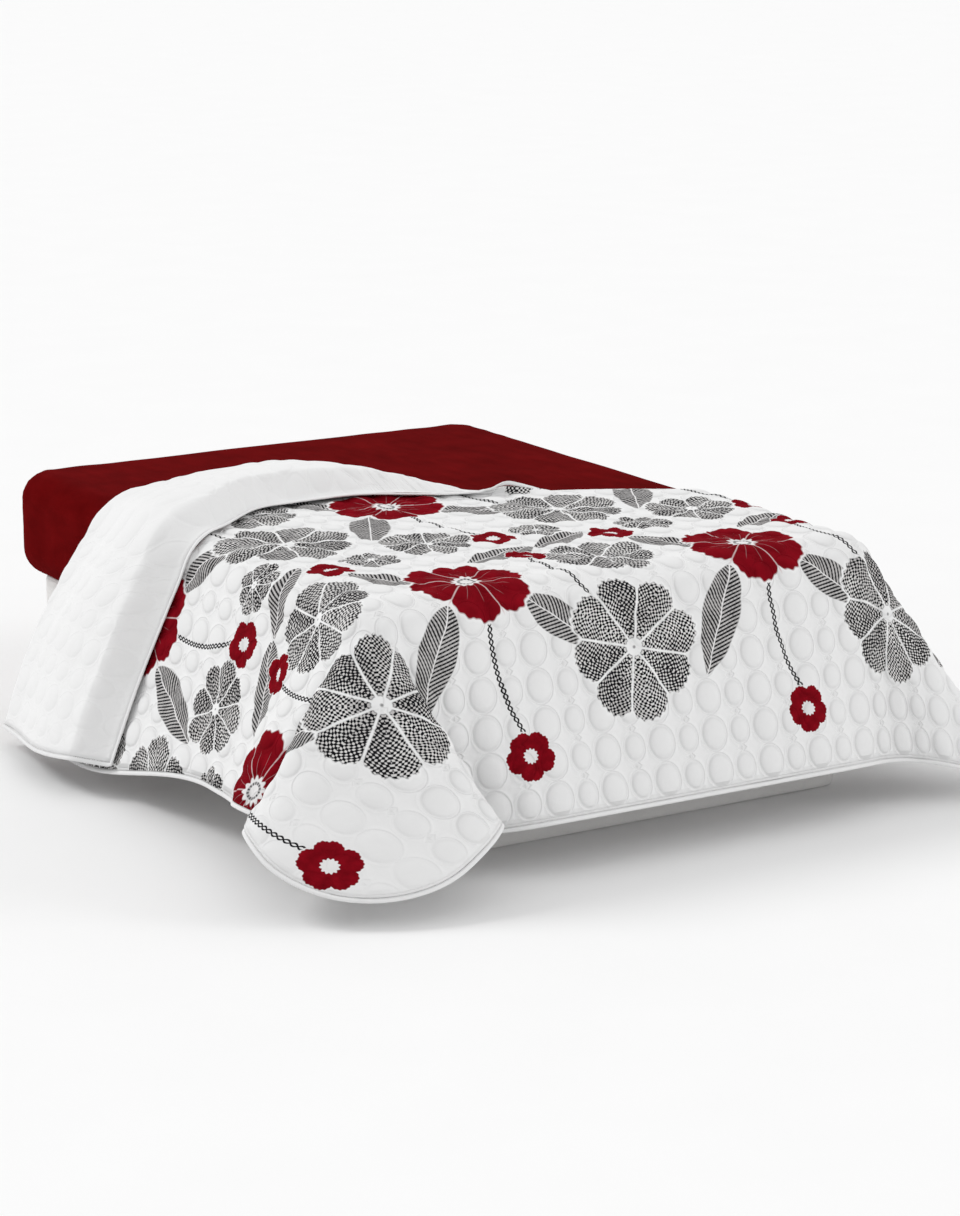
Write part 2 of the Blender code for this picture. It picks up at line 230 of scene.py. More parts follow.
def grid_mesh(columns, rows):
    """A flat grid of points, row after row, ready to be moved into place."""
    bm = bmesh.new()
    bmesh.ops.create_grid(bm, x_segments=columns - 1, y_segments=rows - 1, size=1)
    order = sorted(bm.verts, key=lambda vert: (round(vert.co.y, 6), round(vert.co.x, 6)))
    for index, vert in enumerate(order):
        vert.index = index
    bm.verts.sort()
    return bm


def move_points(bm, points):
    """Moves the mesh's points to their places."""
    for vert, point in zip(bm.verts, points):
        vert.co = point


def make_piece(bm, name, material):
    """Makes a smooth piece of its mesh, in one material."""
    mesh = bpy.data.meshes.new(name)
    bm.to_mesh(mesh)
    bm.free()
    piece = bpy.data.objects.new(name, mesh)
    bpy.context.scene.collection.objects.link(piece)
    mesh.materials.append(material)
    mesh.shade_smooth()
    return piece


def sheet_section(distance):
    """The sheet's section from the top's edge outwards: its reach, height, slope and depth."""
    flat = MATTRESS_CORNER - MATTRESS_RIM
    quarter = MATTRESS_RIM * math.pi / 2
    wall = MATTRESS_HIGH - MATTRESS_LOW - 2 * MATTRESS_RIM
    over = np.clip((distance - flat) / MATTRESS_RIM, 0, math.pi / 2)
    down = np.clip(distance - flat - quarter, 0, wall)
    under = np.clip((distance - flat - quarter - wall) / MATTRESS_RIM, 0, math.pi / 2)
    tucked = np.maximum(distance - flat - 2 * quarter - wall, 0)
    out = np.minimum(distance, flat) + MATTRESS_RIM * (np.sin(over) - (1 - np.cos(under))) - tucked
    high = MATTRESS_HIGH - MATTRESS_RIM * (1 - np.cos(over)) - down - MATTRESS_RIM * np.sin(under)
    return out, high, over + under, down / wall


reach = (MATTRESS_CORNER - MATTRESS_RIM + MATTRESS_RIM * math.pi
         + MATTRESS_HIGH - MATTRESS_LOW - 2 * MATTRESS_RIM + UNDER_TUCK)
core = [half - MATTRESS_CORNER for half in MATTRESS_HALF]
lines = [np.linspace(-half - reach, half + reach, 2 * round((half + reach) / SHEET_CELL) + 1)
         for half in core]
flat_x, flat_y = (values.ravel() for values in np.meshgrid(*lines))
past_x = np.sign(flat_x) * np.maximum(np.abs(flat_x) - core[0], 0)
past_y = np.sign(flat_y) * np.maximum(np.abs(flat_y) - core[1], 0)
length = np.maximum(np.hypot(past_x, past_y), 1e-9)
out_x, out_y = past_x / length, past_y / length
out, high, facing, down = sheet_section(np.maximum(np.abs(past_x), np.abs(past_y)))
upright, level = np.cos(facing), np.sin(facing)

crumple = soft_noise(flat_x + 0.6 * flat_y, flat_y, 0.16, 3) * soft_noise(flat_x, flat_y, 0.37, 5)
wander = 5 * soft_noise(flat_x, flat_y, 0.3, 7)
drag = np.sin((out_x * flat_y - out_y * flat_x) / DRAG_SPACING + wander) ** 2
from_corner = np.hypot(np.abs(flat_x) - core[0], np.abs(flat_y) - core[1])
around = np.where(np.abs(past_x) > np.abs(past_y), flat_y, flat_x)
wander = 9 * soft_noise(flat_x, flat_y, 0.15, 11)
gather = 0.5 + 0.5 * np.sin(2 * math.pi * around / GATHER_PITCH + wander)
in_corner = (np.abs(past_x) > 0) & (np.abs(past_y) > 0)
seam_away = np.where(in_corner, np.abs(np.abs(out_x) - np.abs(out_y)) * MATTRESS_CORNER, 1.0)
sink = TOP_DIP * crumple * upright**2
sink += DRAG_DEPTH * drag * np.exp(-(from_corner / DRAG_REACH) ** 2)
sink += GATHER_DEPTH * gather * soft_step((down - GATHER_FROM) / (1 - GATHER_FROM))
sink += SEAM_DEPTH * np.exp(-(seam_away / SEAM_WIDTH) ** 2)
points = np.stack([
    np.clip(flat_x, -core[0], core[0]) + out_x * (out - sink * level),
    np.clip(flat_y, -core[1], core[1]) + out_y * (out - sink * level),
    np.maximum(high - sink * upright, MATTRESS_LOW),
], axis=1)

bm = grid_mesh(len(lines[0]), len(lines[1]))
seam_layer = bm.verts.layers.float.new("seam")
for vert, away in zip(bm.verts, seam_away):
    vert[seam_layer] = away
bmesh.ops.holes_fill(bm, edges=[edge for edge in bm.edges if edge.is_boundary], sides=0)
move_points(bm, points)

red_sheet, tree, shader = new_cloth("red_sheet", roughness=0.8, sheen=0.010, specular=0.0)
vector, (across, along, up) = cloth_place(tree)
cloudy = fleck(tree, vector, 7, 4.0)
streaky = fleck(tree, vector, 30, 3.0, (1, 0.35, 1))
shade = (cloudy * 0.9 + streaky * 0.6 - 0.25).fade(1.0)
# Along the corner seams the red is painted darker: painted shade in the seam's groove.
seam = tree.nodes.new("ShaderNodeAttribute")
seam.attribute_name = "seam"
seam_painted_shade = (1 - Wire(seam.outputs["Fac"]) / SEAM_SHADE_REACH).fade(1.0)
colour = tint(tree, seam_painted_shade * 0.6, tint(tree, shade, SHEET_DARK, SHEET_LIGHT), SEAM_PAINTED_SHADE)
tree.links.new(colour, shader.inputs["Base Color"])
threads = weave(across, along + up, SHEET_THREAD)
emboss(tree, shader,
       threads * SHEET_THREAD_HEIGHT + streaky * STREAK_HEIGHT + cloudy * CLOUD_HEIGHT)

mattress = make_piece(bm, "mattress_in_sheet", red_sheet)
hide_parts("mattress")
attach(mattress, "root")


# The quilt. Printed cotton, wadding and a plain white back are stitched together along the
# ovals, cut with round foot corners, and laid over the bed with the head end turned back.

SIDE_INSET, FOOT_INSET = 0.68, 0.935
BED_HALF_LENGTH = 1.015
QUILT_HALF_WIDTH, QUILT_FOOT = 1.27, -1.545
CLOTH_TOP = 0.6635
BEND_RADIUS = 0.094
HANG_TURN = math.radians(70)
BEND_LENGTH = BEND_RADIUS * HANG_TURN
FULL_DROP, FOOT_REACH = 0.59, 0.61
HEM_CORNER = 0.24
CORNER_REACH = 0.6
PULL_CURVE = 1.12
LEAST_DROP = 0.45
FREE_EDGE_LIFT, EDGE_SWELL, EDGE_FALL, DOWN_BY = 0.018, 1.7, 0.080, 0.80
LEFT_EXTRA, EXTRA_RISE, EXTRA_FALL = 0.115, (-0.55, 0.70), (0.85, 0.75)
LEAST_TURN, LAID_FROM, LAID_TURN = 0.5, 150, 180
SLOPE_STEP = 0.002
CUFF_COLUMNS = ("across", "fold", "flap", "roll", "turn", "loft")
CUFF = (
    (-1.42, 1.53, 0.66, 0.044, 180, 0.027),
    (-1.18, 1.52, 0.65, 0.044, 180, 0.027),
    (-0.92, 1.45, 0.62, 0.044, 180, 0.026),
    (-0.76, 1.36, 0.55, 0.046, 180, 0.020),
    (-0.40, 1.42, 0.40, 0.056, 180, 0.014),
    (-0.12, 1.39, 0.39, 0.050, 180, 0.010),
    (0.06, 1.06, 0.13, 0.030, 180, 0.002),
    (0.14, 0.98, 0.048, 0.014, 180, 0.0),
    (0.24, 0.915, 0.034, 0.012, 70, 0.0),
    (0.34, 0.87, 0.034, 0.012, 0, 0.0),
    (0.76, 0.68, 0.035, 0.012, 0, 0.0),
    (1.30, 0.62, 0.035, 0.012, 0, 0.0),
)
CORNER_COLUMNS = ("around", "out", "front")
LEFT_CORNER = (
    (-0.40, 0.170, -0.480), (-0.22, 0.185, -0.305), (-0.10, 0.230, -0.205), (-0.02, 0.228, -0.140),
    (0.06, 0.202, -0.100), (0.13, 0.228, -0.062), (0.21, 0.280, -0.015), (0.31, 0.268, 0.062),
    (0.43, 0.172, 0.160), (0.54, 0.050, 0.228), (0.66, -0.105, 0.250), (0.74, -0.185, 0.235),
    (0.80, -0.222, 0.208), (0.85, -0.222, 0.168), (0.92, -0.178, 0.135), (0.97, -0.160, 0.102),
    (1.02, -0.182, 0.078), (1.09, -0.242, 0.090), (1.24, -0.380, 0.150), (1.45, -0.588, 0.170),
)
RIGHT_CORNER = (
    (-0.45, 0.170, -0.530), (-0.25, 0.158, -0.335), (-0.10, 0.150, -0.200), (0.02, 0.185, -0.105),
    (0.20, 0.226, 0.000), (0.38, 0.226, 0.094), (0.54, 0.170, 0.165), (0.68, 0.075, 0.178),
    (0.82, -0.005, 0.150), (0.94, -0.090, 0.138), (1.10, -0.245, 0.165), (1.30, -0.438, 0.170),
)
RUMPLE_COLUMNS = ("across", "along", "shift", "height")
RUMPLES = ((0.83, 0.61, 0.4, 0.0022), (0.47, 1.10, 1.9, 0.0016), (0.36, 0.43, 3.1, 0.0010))


def smooth_columns(names, table, at):
    """A table's named columns at values of its first one, on a smooth curve through its rows."""
    rows = np.array(table, dtype=float)
    steps, values = rows[:, 0], rows[:, 1:]
    slopes = np.gradient(values, steps, axis=0)
    at = np.clip(at, steps[0], steps[-1])
    left = np.clip(np.searchsorted(steps, at) - 1, 0, len(steps) - 2)
    span = steps[left + 1] - steps[left]
    part = ((at - steps[left]) / span)[:, None]
    span = span[:, None]
    smooth = ((2 * part**3 - 3 * part**2 + 1) * values[left]
              + (part**3 - 2 * part**2 + part) * span * slopes[left]
              + (3 * part**2 - 2 * part**3) * values[left + 1]
              + (part**3 - part**2) * span * slopes[left + 1])
    return dict(zip(names[1:], smooth.T))


def hem_shift(table, u, v, side):
    """How far a corner's folds move the hem from its even flare, in plan."""
    up_side = v + FOOT_INSET
    along_foot = SIDE_INSET - side * u
    angle = np.arctan2(np.maximum(-up_side, 0), np.maximum(-along_foot, 1e-9))
    around = CORNER_REACH * angle + np.maximum(along_foot, 0) - np.maximum(up_side, 0)
    hem = smooth_columns(CORNER_COLUMNS, table, around)
    flare = BEND_RADIUS * math.sin(HANG_TURN) + (FULL_DROP - BEND_LENGTH) * math.cos(HANG_TURN)
    even_out = flare * np.cos(angle) - MATTRESS_RIM - np.maximum(along_foot, 0)
    even_front = flare * np.sin(angle) - MATTRESS_RIM - np.maximum(up_side, 0)
    inside = (around > table[0][0]) & (around < table[-1][0])
    return (np.where(inside, side * (hem["out"] - even_out), 0),
            np.where(inside, even_front - hem["front"], 0))


def drape(u, v):
    """Where the cloth's middle lies over the bed, for points of the flat cloth."""
    edge_x = np.clip(u, -SIDE_INSET, SIDE_INSET)
    edge_y = np.maximum(v, -FOOT_INSET)
    past = np.hypot(u - edge_x, v - edge_y)
    out_x = (u - edge_x) / np.maximum(past, 1e-9)
    out_y = (v - edge_y) / np.maximum(past, 1e-9)
    turn = np.clip(past / BEND_RADIUS, 0, HANG_TURN)
    hanging = np.maximum(past - BEND_LENGTH, 0)
    left_x, left_y = hem_shift(LEFT_CORNER, u, v, -1)
    right_x, right_y = hem_shift(RIGHT_CORNER, u, v, 1)
    pull = (hanging / (FULL_DROP - BEND_LENGTH)) ** PULL_CURVE
    plan_x = hanging * math.cos(HANG_TURN) * out_x + pull * np.where(u < 0, left_x, right_x)
    plan_y = hanging * math.cos(HANG_TURN) * out_y + pull * np.where(u < 0, left_y, right_y)
    lowered = np.sqrt(np.maximum(hanging**2 - plan_x**2 - plan_y**2, (LEAST_DROP * hanging) ** 2))
    x = edge_x + BEND_RADIUS * np.sin(turn) * out_x + plan_x
    y = edge_y + BEND_RADIUS * np.sin(turn) * out_y + plan_y
    z = CLOTH_TOP - BEND_RADIUS * (1 - np.cos(turn)) - lowered
    return np.stack([x, y, z], axis=1)


def rumple(u, v):
    """Soft waves that lift the cloth off the bed, never into it."""
    height = np.zeros_like(u)
    for row in RUMPLES:
        wave = dict(zip(RUMPLE_COLUMNS, row))
        phase = 2 * math.pi * (u / wave["across"] + v / wave["along"]) + wave["shift"]
        height += wave["height"] * (1 + np.sin(phase))
    return height


def edge_zone(laid_back):
    """How much of the flap's laid-back length slopes down to its free edge."""
    return np.minimum(EDGE_FALL, laid_back / 2)


def place(u, v):
    """Where a point of the flat cloth lies, with the head end turned back over the rest."""
    cuff = smooth_columns(CUFF_COLUMNS, CUFF, u)
    fold = cuff["fold"] - BED_HALF_LENGTH
    turn = np.radians(np.clip(cuff["turn"], LEAST_TURN, LAID_TURN))
    bend = math.pi * cuff["roll"] / 2
    turned = turn * np.clip((v - fold) / bend, 0, 1)
    beyond = np.maximum(v - fold - bend, 0)
    radius = bend / turn
    along = np.where(v > fold, fold + radius * np.sin(turned) + beyond * np.cos(turn), v)
    height = radius * (1 - np.cos(turned)) + beyond * np.sin(turn)
    share = np.clip(beyond / (cuff["flap"] - bend), 0, 1)
    laid_back = soft_step((cuff["turn"] - LAID_FROM) / (LAID_TURN - LAID_FROM))
    into_zone = 1 - (cuff["flap"] - bend - beyond) / edge_zone(cuff["flap"] - bend)
    falling = np.clip(into_zone / DOWN_BY, 0, 1)
    loft = np.maximum(cuff["loft"], 0)
    swell = EDGE_SWELL * loft
    fullness = loft * np.sin(math.pi * share) ** 2 + swell * soft_step(share)
    height += laid_back * (fullness - (cuff["roll"] + swell - FREE_EDGE_LIFT) * falling)
    across = drape(u + SLOPE_STEP, along) - drape(u - SLOPE_STEP, along)
    ahead = drape(u, along + SLOPE_STEP) - drape(u, along - SLOPE_STEP)
    facing = np.cross(across, ahead)
    facing /= np.maximum(np.linalg.norm(facing, axis=1), 1e-9)[:, None]
    return drape(u, along) + facing * (height + rumple(u, along))[:, None]


CLOTH_CELL = 0.012
LAID_CELLS, ROLL_CELLS, FLAP_CELLS = 98, 8, 43
SETTLE_ROUNDS = 5
PAIR_WIDTH = 0.156
ROW_HEIGHT = 0.092
BIG_OVAL = (0.0365, 0.0425)
SMALL_OVAL = (0.0280, 0.0345)
STAR = 0.009
BIG_MEAN, SMALL_MEAN, STAR_SLOPE = 0.038, 0.028, 0.7
SMALL_FULLNESS, STAR_FULLNESS = 0.8, 0.5
CHANNEL, CHANNEL_ON_CURVE = 0.008, 0.2
CORNER_PULL, PULL_SIDE, PULL_FOOT, PULL_WIDTH = 0.55, 0.90, 1.08, 0.20
SEAM_HALF_THICKNESS = 0.0014
PUFF = 0.0066
BACK_SHARE, CUFF_SHARE = 0.35, 0.50
TURN_FADE = 0.05
HEM_ZONE, HEM_CELLS = 0.05, 6
HEM_FLAT, HEM_RISE = 0.002, 0.022
WASH_WAVES = ((0.14, 0.0016, 21), (0.045, 0.0009, 22))
WASH_LIFT = 0.0012
HANG_TOP, HANG_FADE, HANG_WAVES = 0.55, 0.12, 2.2


def round_hem_corner(u, v):
    """Draws the two foot corners of the flat cloth in to round ones."""
    side = np.maximum(np.abs(u) - SIDE_INSET, 0) / FULL_DROP
    foot = np.maximum(-v - FOOT_INSET, 0) / FOOT_REACH
    far = np.maximum(np.hypot(side, foot), 1e-9)
    longest = np.maximum(side, foot)
    radius = HEM_CORNER / FULL_DROP
    centre = 1 - radius
    middle = centre * (side + foot) / far
    arc = middle + np.sqrt(np.maximum(middle**2 - 2 * centre**2 + radius**2, 0))
    straight = far / np.maximum(longest, 1e-9)
    in_arc = np.minimum(side, foot) / far * straight > centre
    scale = 1 + np.where(in_arc, arc / straight - 1, 0) * np.clip(longest, 0, 1) ** 2
    new_u = np.where(side > 0, np.sign(u) * (SIDE_INSET + side * scale * FULL_DROP), u)
    return new_u, np.where(foot > 0, -FOOT_INSET - foot * scale * FOOT_REACH, v)


def flat_cloth():
    """Flat places of the quilt's points, one row of places after the other from foot to head."""
    side_cells = round(QUILT_HALF_WIDTH / CLOTH_CELL)
    columns = np.linspace(-QUILT_HALF_WIDTH, QUILT_HALF_WIDTH, 2 * side_cells + 1)
    level = -FOOT_INSET + ROW_HEIGHT
    foot_cells = round((level - QUILT_FOOT) / CLOTH_CELL)
    lines = [(row, 0, 0, 0) for row in np.linspace(QUILT_FOOT, level, foot_cells + 1)]
    lines += [(level, share, 0, 0) for share in np.linspace(0, 1, LAID_CELLS + 1)[1:]]
    lines += [(level, 1, share, 0) for share in np.linspace(0, 1, ROLL_CELLS + 1)[1:]]
    lines += [(level, 1, 1, share) for share in np.linspace(0, 1, FLAP_CELLS + 1)[1:]]
    start, *shares = np.array(lines).T[:, :, None]
    outer = np.maximum(-columns - SIDE_INSET, 0) / FULL_DROP
    u = np.tile(columns, (len(lines), 1))
    for _settle in range(SETTLE_ROUNDS):
        cuff = smooth_columns(CUFF_COLUMNS, CUFF, u.ravel())
        fold, flap, roll = (cuff[name].reshape(u.shape) for name in ("fold", "flap", "roll"))
        bend = math.pi * roll / 2
        parts = (fold - BED_HALF_LENGTH - level, bend, flap - bend)
        v = start + sum(share * part for share, part in zip(shares, parts))
        rise = soft_step((v - EXTRA_RISE[0]) / EXTRA_RISE[1])
        fall = soft_step((v - EXTRA_FALL[0]) / EXTRA_FALL[1])
        u = columns - LEFT_EXTRA * outer * (rise - fall)
    return round_hem_corner(u, v)


def grid_facing(points):
    """The way each point of a grid faces, from the lines of points through it."""
    facing = np.cross(np.gradient(points, axis=1), np.gradient(points, axis=0))
    return facing / np.maximum(np.linalg.norm(facing, axis=2), 1e-12)[:, :, None]


def puff(u, v):
    """How full the wadding is between the stitch lines, from 0 to 1."""
    across = np.abs((u + PAIR_WIDTH / 2) % PAIR_WIDTH - PAIR_WIDTH / 2)
    along = np.abs((v - QUILT_FOOT) % ROW_HEIGHT - ROW_HEIGHT / 2)
    big = np.hypot(across / BIG_OVAL[0], along / BIG_OVAL[1])
    small = np.hypot((PAIR_WIDTH / 2 - across) / SMALL_OVAL[0], along / SMALL_OVAL[1])
    star = (PAIR_WIDTH / 2 - across + ROW_HEIGHT / 2 - along) / STAR
    full = (np.maximum(1 - big**3, 0) + SMALL_FULLNESS * np.maximum(1 - small**3, 0)
            + STAR_FULLNESS * np.maximum(1 - star, 0))
    return np.clip(full, 0, 1)


u, v = flat_cloth()
count_v, count_u = u.shape
middle = place(u.ravel(), v.ravel()).reshape(count_v, count_u, 3)
facing = grid_facing(middle)
fold = smooth_columns(CUFF_COLUMNS, CUFF, u.ravel())["fold"].reshape(u.shape) - BED_HALF_LENGTH
turned_back = soft_step((v - fold) / TURN_FADE)

flat_places = np.stack([u, v], axis=2)
hem_ring = np.concatenate([flat_places[0, :-1], flat_places[:-1, -1],
                           flat_places[-1, :0:-1], flat_places[:0:-1, 0]])
near_hem = np.ones(u.shape, dtype=bool)
near_hem[HEM_CELLS:-HEM_CELLS, HEM_CELLS:-HEM_CELLS] = False
to_ring = flat_places[near_hem][:, None] - hem_ring[None]
nearest = np.min(np.hypot(to_ring[..., 0], to_ring[..., 1]), axis=1)
from_hem = np.full(u.shape, HEM_ZONE)
from_hem[near_hem] = np.minimum(nearest, HEM_ZONE)

pulled_side = soft_step((np.abs(u) - PULL_SIDE) / PULL_WIDTH)
pulled_foot = soft_step((-v - PULL_FOOT) / PULL_WIDTH)
fullness = puff(u, v) * soft_step((from_hem - HEM_FLAT) / HEM_RISE)
fullness *= 1 - CORNER_PULL * pulled_side * pulled_foot
uneven = sum(height * (soft_noise(u, v, pitch, seed) - 0.5) for pitch, height, seed in WASH_WAVES)
hang = soft_step((HANG_TOP - middle[:, :, 2]) / HANG_FADE)
uneven = uneven * (1 + HANG_WAVES * hang) + WASH_LIFT
print_share = 1 - (1 - BACK_SHARE) * turned_back
back_share = BACK_SHARE + (CUFF_SHARE - BACK_SHARE) * turned_back
print_side = SEAM_HALF_THICKNESS + PUFF * fullness * print_share
back_side = SEAM_HALF_THICKNESS + PUFF * fullness * back_share
front = middle + facing * (print_side + uneven)[:, :, None]
back = middle - facing * (back_side - uneven)[:, :, None]

PRINT_COLUMNS = ("layer", "kind", "across", "along", "half_long", "half_wide", "turn")
REPEAT_ACROSS, REPEAT_ALONG, REPEAT_SLIP = 0.82, 0.86, 0.27
MOTIF_REACH, OFF_MOTIF = 1.45, 9
PRINT = (
    ("red", 0, 0.415, -0.900, 0.158, 0.158, 12),
    ("red", 1, 0.185, -0.640, 0.062, 0.062, 30),
    ("red", 1, 0.690, -0.735, 0.055, 0.055, 75),
    ("red", 1, 0.452, -1.385, 0.062, 0.062, 50),
    ("grey", 0, 0.790, -1.165, 0.185, 0.185, 8),
    ("grey", 0, 0.030, -0.825, 0.150, 0.150, 20),
    ("grey", 0, 0.545, -0.490, 0.125, 0.125, 0),
    ("grey", 0, 0.045, -0.500, 0.075, 0.075, 40),
    ("grey", 0, 0.335, -0.575, 0.082, 0.082, 15),
    ("leaf", 0, 0.235, -1.130, 0.150, 0.055, 62),
    ("leaf", 0, 0.600, -1.075, 0.120, 0.045, 142),
    ("leaf", 0, 0.640, -0.690, 0.130, 0.050, 20),
    ("leaf", 0, 0.250, -0.790, 0.105, 0.042, 118),
    ("leaf", 0, 0.035, -0.625, 0.100, 0.040, 20),
    ("stem", 0, 0.430, -1.165, 0.175, 0.085, 96),
    ("stem", 0, 0.690, -0.900, 0.150, 0.080, 95),
)


def printed_motifs(layer):
    """All of the print's motifs of one layer over the whole cloth."""
    rows = [dict(zip(PRINT_COLUMNS, row)) for row in PRINT]
    return np.array([
        (row["kind"], row["across"] + REPEAT_ACROSS * step + REPEAT_SLIP * rise,
         row["along"] + REPEAT_ALONG * rise,
         row["half_long"], row["half_wide"], math.radians(row["turn"]))
        for row in rows if row["layer"] == layer for rise in range(3) for step in range(-4, 2)
    ])


def print_on(mesh, layer, loop_u, loop_v, loop_face):
    """Gives each face its motif: the place within it, and its size, or kind if red."""
    motifs = printed_motifs(layer)

    def within(x, y, _kind, across, along, half_long, half_wide, turn):
        away_x, away_y = x - across, y - along
        return ((away_x * np.cos(turn) + away_y * np.sin(turn)) / half_long,
                (away_y * np.cos(turn) - away_x * np.sin(turn)) / half_wide)

    faces = loop_face[-1] + 1
    count = np.bincount(loop_face)
    face_u, face_v = (np.bincount(loop_face, values) / count for values in (loop_u, loop_v))
    best, chosen = np.full(faces, MOTIF_REACH), np.full(faces, -1)
    for index, motif in enumerate(motifs):
        x, y = within(face_u, face_v, *motif)
        is_round = layer in ("grey", "red")
        size = np.hypot(x, y) if is_round else np.maximum(np.abs(x), np.abs(y))
        chosen = np.where(size < best, index, chosen)
        best = np.minimum(size, best)
    motif = motifs[chosen[loop_face]].T
    x, y = within(loop_u, loop_v, *motif)
    bare = chosen[loop_face] < 0
    mark = motif[0] if layer == "red" else motif[3]
    values = np.stack([np.where(bare, OFF_MOTIF, x), np.where(bare, OFF_MOTIF, y),
                       np.where(bare, 0, mark)], axis=1)
    printed = mesh.attributes.new("print_" + layer, "FLOAT_VECTOR", "CORNER")
    printed.data.foreach_set("vector", values.ravel())


def petals(x, y, count):
    """Polar place in a flower: distance out, share of a petal from its middle (to 0.5), angle."""
    out = (x * x + y * y) ** 0.5
    angle = y.math("ARCTAN2", x)
    return out, abs((angle * count / (2 * math.pi)).part(1.0)), angle


def stitch_place(across, along):
    """Where a point lies beside the nearest stitch line: 0.5 on it, less within an oval."""
    u_part = abs(across.part(PAIR_WIDTH))
    v_part = abs((along - QUILT_FOOT - ROW_HEIGHT / 2).part(ROW_HEIGHT))
    u_other = PAIR_WIDTH / 2 - u_part
    v_other = ROW_HEIGHT / 2 - v_part
    big = ((u_part / BIG_OVAL[0]) ** 2 + (v_part / BIG_OVAL[1]) ** 2) ** 0.5
    small = ((u_other / SMALL_OVAL[0]) ** 2 + (v_part / SMALL_OVAL[1]) ** 2) ** 0.5
    away = ((big - 1) * BIG_MEAN).lower((small - 1) * SMALL_MEAN)
    away = away.lower((u_other + v_other - STAR) * STAR_SLOPE)
    return away / (CHANNEL / CHANNEL_ON_CURVE) + 0.5


def profile(tree, wire, stops):
    """A wire read off a smooth curve through the given stops."""
    reading = tree.nodes.new("ShaderNodeFloatCurve")
    curve = reading.mapping.curves[0]
    for _spare in range(len(stops) - 2):
        curve.points.new(0.5, 0.5)
    for point, stop in zip(curve.points, stops):
        point.location = stop
    reading.mapping.update()
    feed(reading.inputs["Value"], wire)
    return Wire(reading.outputs[0])


QUILTED_HEIGHT = (
    (0.0, 1.0), (0.20, 0.95), (0.34, 0.78), (0.44, 0.50), (0.50, 0.40),
    (0.56, 0.56), (0.62, 0.70), (0.70, 0.60), (0.82, 0.50), (1.0, 0.48),
)
# This tone curve paints the quilting's shade into the colour: darkest inside the ovals and in the
# stitch grooves, palest on the raised cords between them, as painted shade and painted highlight.
QUILTED_PAINTED_SHADE = (
    (0.0, 0.26), (0.30, 0.22), (0.44, 0.14), (0.50, 0.30), (0.56, 0.86),
    (0.62, 1.0), (0.70, 0.88), (0.82, 0.68), (1.0, 0.62),
)
# The darker colour of each white pair is its painted shade, used where the quilting is painted
# darker.
GROUND, GROUND_PAINTED_SHADE = (0.86, 0.86, 0.86), (0.7912, 0.7912, 0.7912)
BACK_WHITE, BACK_PAINTED_SHADE = (0.86, 0.86, 0.86), (0.8299, 0.8299, 0.8299)
DEEP_RED, DARK_RED, VEIN_PINK = (0.250, 0.0040, 0.0110), (0.120, 0.0020, 0.0050), (0.66, 0.52, 0.52)
INK, EYE_INK, SPECK = (0.010, 0.010, 0.012), (0.05, 0.05, 0.055), (0.30, 0.30, 0.30)
ASH, PALE_ASH, PEARL = (0.56, 0.545, 0.54), (0.78, 0.77, 0.76), (0.80, 0.79, 0.79)
PRINT_EDGE = 30
HALO = 0.045
HATCH_PITCH, HATCH_SLANT = 0.0120, 0.35
RIB_HALF = 0.045
STEM_PITCH, STEM_BOW, STRAND_SWING, STRAND_HALF = 0.0300, 0.35, 0.056, 0.036
GREY_PETALS, BIG_RED_PETALS = 8, 6
CREASE_SCALE, NAP_SCALE = 42, 420
CREASE_TONE, BACK_CREASE_TONE = 0.25, 0.6
CREASE_HEIGHT, BACK_CREASE_HEIGHT, NAP_HEIGHT = 0.0011, 0.0012, 0.00012
BACK_STITCH_HEIGHT = 0.0020
HEM_PLAIN = 0.006
HEM_STITCH_PLACE, HEM_STITCH_HALF, HEM_STITCH_HEIGHT = 0.0055, 0.0016, 0.0006


def quilted(tree):
    """What both sides share: flat place, creases, nap, place beside a stitch, and stitched part."""
    vector, (across, along, hem) = cloth_place(tree, "flat")
    creases = fleck(tree, vector, CREASE_SCALE, 3.0)
    nap = fleck(tree, vector, NAP_SCALE, 2.0)
    beside_stitches = stitch_place(across, along)
    return (vector, across, along, hem), creases, nap, beside_stitches, (hem - HEM_PLAIN).fade(90)


quilt_face, tree, shader = new_cloth("printed_quilt_face", roughness=0.9, sheen=0.0, specular=0.02)
(vector, across, along, hem), creases, nap, beside_stitches, inside = quilted(tree)
pulled = ((abs(across) - PULL_SIDE) / PULL_WIDTH).fade(1.0)
pulled = pulled * ((-1 * along - PULL_FOOT) / PULL_WIDTH).fade(1.0)
relief = 1 - pulled * CORNER_PULL
# Painted shade and painted highlight of the quilting: the ground is darker inside the ovals and in
# the stitch grooves and paler on the cords, less so at the pulled foot corners. The random creases
# also make it darker where they are low.
cord_painted_shade = 0.5 + (profile(tree, beside_stitches, QUILTED_PAINTED_SHADE) - 0.5) * relief
painted_shade_and_tone = creases * CREASE_TONE + cord_painted_shade * (1 - CREASE_TONE)
colour = tint(tree, painted_shade_and_tone, GROUND_PAINTED_SHADE, GROUND)

# Leaves are hatched in slanting rows on both sides of a pale rib.
x, y, size = cloth_place(tree, "print_leaf")[1]
hatching = 2 * math.pi / HATCH_PITCH
blade = (1 - x * x).higher(0.0) ** 0.75 * (1 + 0.18 * x)
wisps = fleck(tree, vector, 26, 3.0) - 0.5
slanted = ((x - HATCH_SLANT * abs(y)) * size * hatching).sine()
hatch = (0.42 + 0.9 * wisps + slanted * (0.85 + 0.5 * (y * 41).sine())).fade(1.0)
leaf_shade = tint(tree, (RIB_HALF - abs(y)).fade(50), tint(tree, hatch, INK, ASH), PEARL)
colour = tint(tree, (blade - abs(y)).fade(14), colour, leaf_shade)

